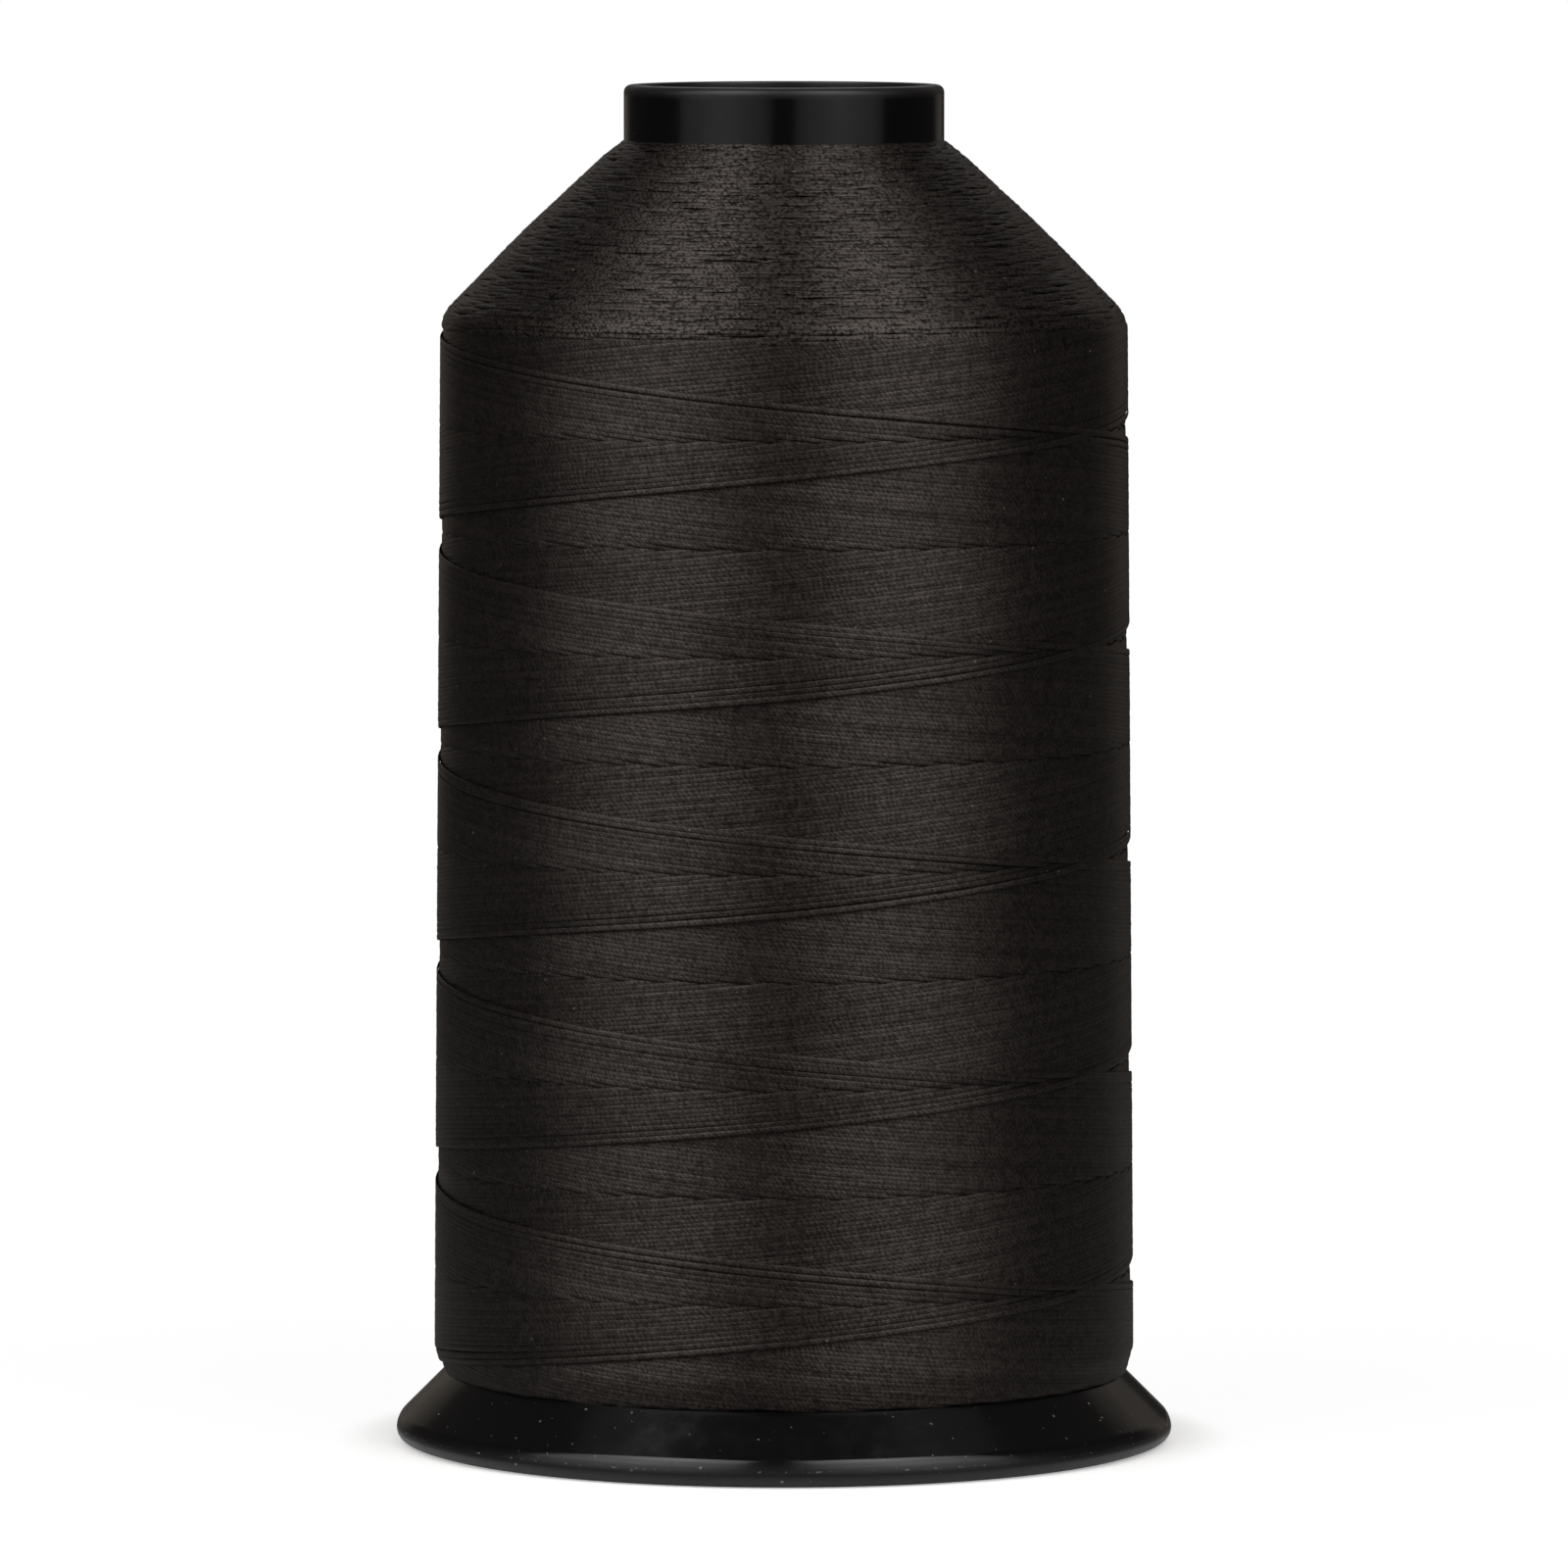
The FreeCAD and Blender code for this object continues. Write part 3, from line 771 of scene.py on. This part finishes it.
def turn_back_run(thread, surface, apex_turn, apex_along, way, lift, random):
    """A thread through one turn-back.

    Both legs go up (1) or down (-1) the pack and sink under later turns.
    """
    bend = thread.turn_back * random.uniform(0.5, 1.0)
    reach = bend * random.uniform(0.95, 1.2)
    run = np.linspace(-reach, reach, TURN_BACK_POINTS)
    away = np.abs(run)
    leg = thread.lead * np.where(away < bend, run ** 2 / (2 * bend), away - bend / 2)
    lean = surface.lean_at(apex_along)
    along = apex_along + way * leg * math.cos(lean)
    sink = leg * math.sin(lean) + TURN_BACK_SINK * (away / reach) ** 3
    along = along + TURN_BACK_WANDER * drift(run * 20, random, slow=0.5, fast=2.0)
    tone = random.uniform(*TURN_BACK_TONES)
    return thread_run(surface, apex_turn + run, along, lift - sink, thread.end_width, tone)


def shoulder_runs(thread, surface, random):
    """Turn-backs of the buried layers, round after round up the shoulder, the last at the tube."""
    first = surface.along_at(thread.upper_edge - SHOULDER_START)
    last = surface.along[-1] - PACK_END_GAP
    total = int((last - first) / thread.round_rise * thread.per_lead)
    runs = []
    for index in range(total + thread.per_lead):
        along = first + (last - first) * min(index / total, 1.0)
        under = (1 - (along - first) / TUCK_LENGTH).clip(0, 1) * TUCK_DEPTH
        turn = index / thread.per_lead + random.normal(0, SHOULDER_JITTER)
        raised = random.normal(SHOULDER_LIFT, SHOULDER_LIFT_JITTER)
        lift = raised - thread.thickness / 2 - under
        along = along + random.normal(0, SHOULDER_RISE_JITTER)
        runs.append(turn_back_run(thread, surface, turn, along, -1, lift, random))
    return runs


def nose_runs(thread, surface, random):
    """The turns at the pack's end, one against the bare tube and one and a half that leave it."""
    turn = np.arange(int(NOSE_TURNS * TURN_STEPS)) / TURN_STEPS
    left_tube = (turn - 1).clip(0, None) * thread.end_width * NOSE_CLOSENESS
    along = surface.along[-1] - PACK_END_GAP - left_tube
    along = along + NOSE_WANDER * drift(turn, random, slow=2, fast=9)
    lift = LIFT_WANDER * drift(turn, random, slow=2, fast=9) - NOSE_SINK * thread.thickness
    return [thread_run(surface, turn, along, lift, thread.end_width, 1.0)]


def foot_runs(thread, surface, random):
    """Turn-backs of the layer under the outermost one, just above the skirt."""
    runs = []
    for index in range(thread.per_lead):
        turn = (index + 0.5) / thread.per_lead + random.normal(0, FOOT_JITTER)
        along = surface.along_at(FOOT_TURN_HEIGHT) + random.normal(0, FOOT_RISE_JITTER)
        runs.append(turn_back_run(thread, surface, turn, along, 1, -FOOT_TURN_SINK, random))
    return runs


def thread_piece(name, runs, thread, surface, material):
    """Closed tubes of thread along some runs, rolled up from one flat grid."""
    counts = [len(run["turn"]) for run in runs]
    rings = sum(counts)
    bm = bmesh.new()
    bm.loops.layers.uv.new("thread_lay")
    bmesh.ops.create_grid(bm, x_segments=rings - 1, y_segments=THREAD_SIDES, size=1.0)
    last_rings = set((np.cumsum(counts) - 1).tolist())
    between = [face for face in bm.faces if face.index % (rings - 1) in last_rings]
    bmesh.ops.delete(bm, geom=between, context="FACES")
    mesh = bpy.data.meshes.new(name)
    bm.to_mesh(mesh)

    laid = {key: np.concatenate([run[key] for run in runs]) for key in runs[0]}
    ring = np.arange(len(mesh.vertices)) % rings
    side = np.arange(len(mesh.vertices)) // rings
    angle = math.tau * side / THREAD_SIDES
    along = laid["along"][ring] + laid["width"][ring] / 2 * np.cos(angle)
    lift = laid["lift"][ring] + thread.thickness / 2 * np.sin(angle)
    places = surface.points(laid["turn"][ring], along, lift)
    mesh.vertices.foreach_set("co", places.ravel())
    tone = mesh.attributes.new("tone", "FLOAT", "POINT")
    tone.data.foreach_set("value", laid["tone"][ring])
    corner = np.empty(len(mesh.loops), dtype=np.int32)
    mesh.loops.foreach_get("vertex_index", corner)
    lay = np.stack([laid["travelled"][ring[corner]], side[corner] / THREAD_SIDES], axis=1)
    mesh.uv_layers["thread_lay"].uv.foreach_set("vector", lay.ravel())

    bm.clear()
    bm.from_mesh(mesh)
    bpy.data.meshes.remove(mesh)
    bm.verts.ensure_lookup_table()
    seam = [vert for vert in bm.verts if vert.is_boundary]
    bmesh.ops.remove_doubles(bm, verts=seam, dist=WELD_DISTANCE)
    ends = [edge for edge in bm.edges if edge.is_boundary]
    bmesh.ops.holes_fill(bm, edges=ends, sides=THREAD_SIDES)
    bmesh.ops.recalc_face_normals(bm, faces=bm.faces)
    return new_piece(name, bm, material)


class SPOOL_OT_tube(bpy.types.Operator):
    """Makes the moulded tube whose nose stands out of the thread"""

    bl_idname = "spool.tube"
    bl_label = "Tube"

    def execute(self, context):
        plastic = context.scene.spool_plastic
        outside, bore = plastic.tube_radius, plastic.tube_radius - plastic.tube_wall
        seat, snap = plastic.seat_height, plastic.seat_height + SNAP_HEIGHT
        bm = lathe([
            (bore, seat + LEAD_IN, 0),
            (bore + LEAD_IN, seat, 0),
            (outside, seat, 0),
            (outside, snap - SNAP_REACH, 0),
            (outside + SNAP_DEPTH, snap - SNAP_REACH + SNAP_DEPTH, 0),
            (outside + SNAP_DEPTH, snap + SNAP_REACH - SNAP_DEPTH, 0),
            (outside, snap + SNAP_REACH, 0),
            (outside, TUBE_TOP, plastic.nose_round),
            (bore, TUBE_TOP, BORE_ROUND),
        ])
        # The tube's rubbed edge is its top one, and its flash line lies at its unseen lower end
        material = moulded_polystyrene(
            "polished_polystyrene", plastic, roughness=0.15, scuffs=0.08, dust_spacing=3.2 * MM,
            flash_height=0.0, worn_from=TUBE_TOP - 1.5 * MM, worn_to=TUBE_TOP - 0.9 * MM)
        tube = new_piece("moulded_tube", bm, material)
        keep_edges_crisp(tube)
        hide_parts("spool_barrel")
        return {"FINISHED"}


class SPOOL_OT_foot(bpy.types.Operator):
    """Makes the conical foot with its bead rim, sleeve and ribs"""

    bl_idname = "spool.foot"
    bl_label = "Foot"

    def execute(self, context):
        plastic = context.scene.spool_plastic
        # The skirt slopes at 45 degrees, so radius and height add up to the same all over a cone
        cone = FOOT_EDGE + plastic.skirt_start
        inner_cone = cone - plastic.foot_wall * math.sqrt(2)
        sleeve = plastic.tube_radius + plastic.tube_fit
        sleeve_outside, land = sleeve + SLEEVE_WALL, sleeve + SLEEVE_LAND
        ledge = plastic.tube_radius - plastic.tube_wall + LEAD_IN
        seat, snap = plastic.seat_height, plastic.seat_height + SNAP_HEIGHT
        hollow = FOOT_EDGE - HOLLOW_INSET
        bm = lathe([
            (FOOT_EDGE - FLAT_RING_INSET, 0, FLOOR_ROUND),
            (FOOT_EDGE - LIP_INSET, LIP_INSET, LIP_ROUND),
            (FOOT_EDGE, LIP_TOP, LIP_ROUND),
            (FOOT_EDGE, plastic.skirt_start, BEAD_ROUND),
            (land, cone - land, 0),
            (sleeve, cone - land, 0),
            (sleeve, snap + GROOVE_REACH, 0),
            (sleeve + SNAP_DEPTH, snap + GROOVE_REACH - SNAP_DEPTH, 0),
            (sleeve + SNAP_DEPTH, snap - GROOVE_REACH + SNAP_DEPTH, 0),
            (sleeve, snap - GROOVE_REACH, 0),
            (sleeve, seat, 0),
            (ledge, seat, 0),
            (ledge, seat - LEDGE_THICKNESS, 0),
            (sleeve_outside, seat - LEDGE_THICKNESS, 0),
            (sleeve_outside, inner_cone - sleeve_outside, HOLLOW_ROUND),
            (hollow, inner_cone - hollow, HOLLOW_ROUND),
            (hollow, 0, 0),
        ])
        self.add_ribs(bm, sleeve_outside - RIB_SINK, inner_cone + RIB_SINK)
        material = moulded_polystyrene(
            "scuffed_polystyrene", plastic, roughness=0.12, scuffs=0.1, dust_spacing=1.4 * MM,
            flash_height=plastic.parting_line, worn_from=3.2 * MM, worn_to=1.9 * MM)
        foot = new_piece("moulded_foot", bm, material)
        keep_edges_crisp(foot)
        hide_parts("foot_flange")
        return {"FINISHED"}

    def add_ribs(self, bm, root, cone):
        """Adds the ribs under the skirt, three-cornered plates from the sleeve out to the rim."""
        half = RIB_THICKNESS / 2
        rib = [bm.verts.new(corner) for corner in (
            (root, -half, RIB_FLOOR_GAP),
            (cone - RIB_FLOOR_GAP, -half, RIB_FLOOR_GAP),
            (root, -half, cone - root),
        )]
        side = bm.faces.new(rib)
        grown = bmesh.ops.extrude_face_region(bm, geom=[side])["geom"]
        moved = [item for item in grown if isinstance(item, bmesh.types.BMVert)]
        bmesh.ops.translate(bm, verts=moved, vec=(0, RIB_THICKNESS, 0))
        whole = list({
            item for vert in rib + moved for item in (vert, *vert.link_edges, *vert.link_faces)})
        bmesh.ops.rotate(
            bm, verts=rib + moved, cent=ORIGIN, matrix=Matrix.Rotation(FIRST_RIB, 3, "Z"))
        bmesh.ops.spin(
            bm, geom=whole, cent=ORIGIN, axis=AXIS, angle=math.tau * (RIB_COUNT - 1) / RIB_COUNT,
            steps=RIB_COUNT - 1, use_duplicate=True)
        bmesh.ops.recalc_face_normals(bm, faces=bm.faces)


class SPOOL_OT_pack_core(bpy.types.Operator):
    """Makes the inside of the pack, which shows only between the threads"""

    bl_idname = "spool.pack_core"
    bl_label = "Pack core"

    def execute(self, context):
        plastic = context.scene.spool_plastic
        inside = plastic.tube_radius + CORE_FIT
        cone = FOOT_EDGE + plastic.skirt_start + CORE_OVER_SKIRT
        bevel = CORE_RADIUS - CORE_BEVEL
        shoulder = [
            ((radius - inwards) * MM, (height - down) * MM, rounding * MM)
            for (radius, height, _), (inwards, down, rounding)
            in zip(PACK_CORNERS[2:5], CORE_INSETS)]
        bm = lathe([
            (inside, cone - inside, 0),
            (bevel, cone - bevel, CORE_BEVEL_ROUND),
            (CORE_RADIUS, CORE_TUCK_TOP, CORE_TUCK_ROUND),
            *shoulder,
            (inside, PACK_CORNERS[-1][1] * MM - CORE_END_GAP, 0),
        ])
        material = buried_nylon(context.scene.spool_thread)
        core = new_piece("buried_thread", bm, material)
        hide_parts("thread_pack")
        return {"FINISHED"}


class SPOOL_OT_body_thread(bpy.types.Operator):
    """Winds the rising and falling threads that show on the pack's body"""

    bl_idname = "spool.body_thread"
    bl_label = "Body thread"

    def execute(self, context):
        thread = context.scene.spool_thread
        surface = PackSurface()
        material = bonded_nylon("bonded_nylon_laid_flat", thread, darkest=0.5, lightest=1.25)
        middle = surface.along_at((thread.upper_edge + thread.lower_edge) / 2)
        for family, way, seed in (("rising", 1, 11), ("falling", -1, 12)):
            runs = body_runs(thread, surface, way, np.random.default_rng(seed))
            upper = [run for run in runs if run["along"].mean() > middle]
            lower = [run for run in runs if run["along"].mean() <= middle]
            for part, chosen in (("upper", upper), ("lower", lower)):
                piece = thread_piece(f"{family}_thread_{part}", chosen, thread, surface, material)
                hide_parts("thread_outer_layer")
        return {"FINISHED"}


class SPOOL_OT_end_thread(bpy.types.Operator):
    """Winds the turn-backs on the shoulder and at the foot and the turns against the tube"""

    bl_idname = "spool.end_thread"
    bl_label = "End thread"

    def execute(self, context):
        thread = context.scene.spool_thread
        surface = PackSurface()
        material = bonded_nylon("bonded_nylon_at_turns", thread, darkest=0.1, lightest=1.8)
        shoulder = shoulder_runs(thread, surface, np.random.default_rng(21))
        half = len(shoulder) // 2
        ends = (
            ("shoulder_thread_lower", shoulder[:half]),
            ("shoulder_thread_upper", shoulder[half:]),
            ("nose_thread", nose_runs(thread, surface, np.random.default_rng(22))),
            ("foot_thread", foot_runs(thread, surface, np.random.default_rng(23))),
        )
        for name, runs in ends:
            piece = thread_piece(name, runs, thread, surface, material)
            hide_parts("thread_outer_layer")
        return {"FINISHED"}


def aim(thing, place, target):
    """Puts a lamp or camera at a place, looking at a target."""
    thing.location = place
    thing.rotation_euler = (Vector(target) - Vector(place)).to_track_quat("-Z", "Y").to_euler()


def softbox(name, azimuth, distance, heights, width, radiance, tint):
    """An upright lamp that the camera doesn't see, dimmer towards its sides."""
    lamp = bpy.data.lights.new(name, "AREA")
    lamp.use_nodes = True
    tree = lamp.node_tree
    tree.nodes.clear()
    spot = add_node(tree, "ShaderNodeNewGeometry").outputs["Parametric"]
    across = add_node(tree, "ShaderNodeSeparateXYZ", {0: spot}).outputs["X"]
    off_centre = add_node(tree, "ShaderNodeMath", {0: across, 1: 0.5}, operation="SUBTRACT")
    sideways = add_node(tree, "ShaderNodeMath", {0: off_centre}, operation="ABSOLUTE")
    dimmed = add_node(tree, "ShaderNodeMath", {
        0: sideways, 1: -SOFTBOX_DIMMING, 2: 1.0}, operation="MULTIPLY_ADD")
    glow = add_node(tree, "ShaderNodeEmission", {"Strength": dimmed})
    add_node(tree, "ShaderNodeOutputLight", {"Surface": glow})
    low, high = heights
    lamp.shape = "RECTANGLE"
    lamp.size = width
    lamp.size_y = high - low
    lamp.energy = radiance * math.pi * width * (high - low)
    lamp.color = tint[:3]
    box = bpy.data.objects.new(name, lamp)
    bpy.context.scene.collection.objects.link(box)
    around = math.radians(azimuth)
    place = Vector((math.sin(around), -math.cos(around), 0)) * distance
    place.z = (low + high) / 2
    aim(box, place, (0, 0, place.z))
    box.visible_camera = False
    return box


def stage_piece(name, bm, material):
    """Turns a bmesh into a thing of the studio."""
    mesh = bpy.data.meshes.new(name)
    bm.to_mesh(mesh)
    bm.free()
    mesh.materials.append(material)
    thing = bpy.data.objects.new(name, mesh)
    bpy.context.scene.collection.objects.link(thing)
    return thing


class SPOOL_OT_studio(bpy.types.Operator):
    """Makes the table, the dim room, the softboxes and the camera"""

    bl_idname = "spool.studio"
    bl_label = "Studio"

    def execute(self, context):
        studio = context.scene.spool_studio
        bm = bmesh.new()
        bmesh.ops.create_circle(bm, cap_ends=True, radius=TABLE_RADIUS, segments=96)
        stage_piece("table", bm, white_table(studio))
        bm = bmesh.new()
        bmesh.ops.create_icosphere(bm, subdivisions=4, radius=ROOM_RADIUS)
        bmesh.ops.reverse_faces(bm, faces=bm.faces)
        room = stage_piece("room", bm, dim_room(studio))
        room.visible_camera = room.visible_diffuse = room.visible_shadow = False
        self.place_lamps(studio)
        self.light_world(context)
        self.place_camera(context, studio)
        context.scene.view_settings.view_transform = "Standard"
        return {"FINISHED"}

    def place_lamps(self, studio):
        """The softboxes in front, of four parts each, and the fainter lights round the spool."""
        for side, azimuth, turned, width in SOFTBOXES:
            for part, low, high in SOFTBOX_PARTS:
                softbox(
                    f"{side}_softbox_{part}", azimuth if part == "low" else azimuth + turned,
                    SOFTBOX_DISTANCE, (low, high), width, getattr(studio, f"{part}_light"), WHITE)
        for side, azimuth in SIDE_LIGHTS:
            softbox(
                f"{side}_side_light", azimuth, SOFTBOX_DISTANCE, SIDE_LIGHT_HEIGHTS,
                SIDE_LIGHT_WIDTH, studio.side_light, WHITE)
        for side, azimuth, width in BACK_LIGHTS:
            softbox(
                f"{side}_back_light", azimuth, BACK_LIGHT_DISTANCE, BACK_LIGHT_HEIGHTS,
                width, studio.back_light, WARM_WHITE)
        softbox(
            "backdrop_light", 180, SOFTBOX_DISTANCE, BACKDROP_HEIGHTS, BACKDROP_WIDTH,
            studio.backdrop, WHITE)

    def light_world(self, context):
        """White for rays that should see the background, and a dim fill for the world's light."""
        world = bpy.data.worlds.new("studio")
        world.use_nodes = True
        tree = world.node_tree
        tree.nodes.clear()
        rays = add_node(tree, "ShaderNodeLightPath")
        mirrored = add_node(tree, "ShaderNodeMath", {
            0: rays.outputs["Is Glossy Ray"], 1: rays.outputs["Is Transmission Ray"]},
            operation="ADD")
        seen = add_node(tree, "ShaderNodeMath", {
            0: rays.outputs["Is Camera Ray"], 1: mirrored}, operation="ADD")
        fill = add_node(tree, "ShaderNodeBackground", {"Color": WORLD_FILL, "Strength": 1.0})
        white = add_node(tree, "ShaderNodeBackground", {"Color": WHITE, "Strength": 1.0})
        mixed = add_node(tree, "ShaderNodeMixShader", {0: seen, 1: fill, 2: white})
        add_node(tree, "ShaderNodeOutputWorld", {"Surface": mixed})
        context.scene.world = world

    def place_camera(self, context, studio):
        """The camera in front, looking down a little."""
        camera = bpy.data.cameras.new("camera")
        camera.lens = studio.lens
        camera.clip_end = FARTHEST_SEEN
        viewer = bpy.data.objects.new("camera", camera)
        context.scene.collection.objects.link(viewer)
        place = Vector((0, -studio.distance, studio.height))
        ahead = Vector((0, math.cos(studio.tilt), -math.sin(studio.tilt)))
        aim(viewer, place, place + ahead)
        context.scene.camera = viewer


class SPOOL_PT_panel(bpy.types.Panel):
    """Lists the spool's pieces and their settings"""

    bl_idname = "SPOOL_PT_panel"
    bl_label = "Spool of thread"
    bl_space_type = "VIEW_3D"
    bl_region_type = "UI"
    bl_category = "Spool"

    def draw(self, context):
        scene = context.scene
        for operator in PIECES:
            self.layout.operator(operator.bl_idname)
        for settings in (scene.spool_plastic, scene.spool_thread, scene.spool_studio):
            box = self.layout.box()
            for name in settings.__annotations__:
                box.prop(settings, name)


PIECES = (
    SPOOL_OT_tube, SPOOL_OT_foot, SPOOL_OT_pack_core, SPOOL_OT_body_thread, SPOOL_OT_end_thread,
    SPOOL_OT_studio,
)
CLASSES = (PlasticSettings, ThreadSettings, StudioSettings, *PIECES, SPOOL_PT_panel)


def register():
    """Registers the classes and hangs the settings on the scene."""
    for each in CLASSES:
        bpy.utils.register_class(each)
    bpy.types.Scene.spool_plastic = PointerProperty(type=PlasticSettings)
    bpy.types.Scene.spool_thread = PointerProperty(type=ThreadSettings)
    bpy.types.Scene.spool_studio = PointerProperty(type=StudioSettings)


def unregister():
    """Takes the settings and classes off again."""
    del bpy.types.Scene.spool_plastic, bpy.types.Scene.spool_thread, bpy.types.Scene.spool_studio
    for each in reversed(CLASSES):
        bpy.utils.unregister_class(each)


def main():
    """Makes every piece and the studio."""
    register()
    bpy.ops.spool.tube()
    bpy.ops.spool.foot()
    bpy.ops.spool.pack_core()
    bpy.ops.spool.body_thread()
    bpy.ops.spool.end_thread()
    bpy.ops.spool.studio()


if __name__ == "__main__":
    main()
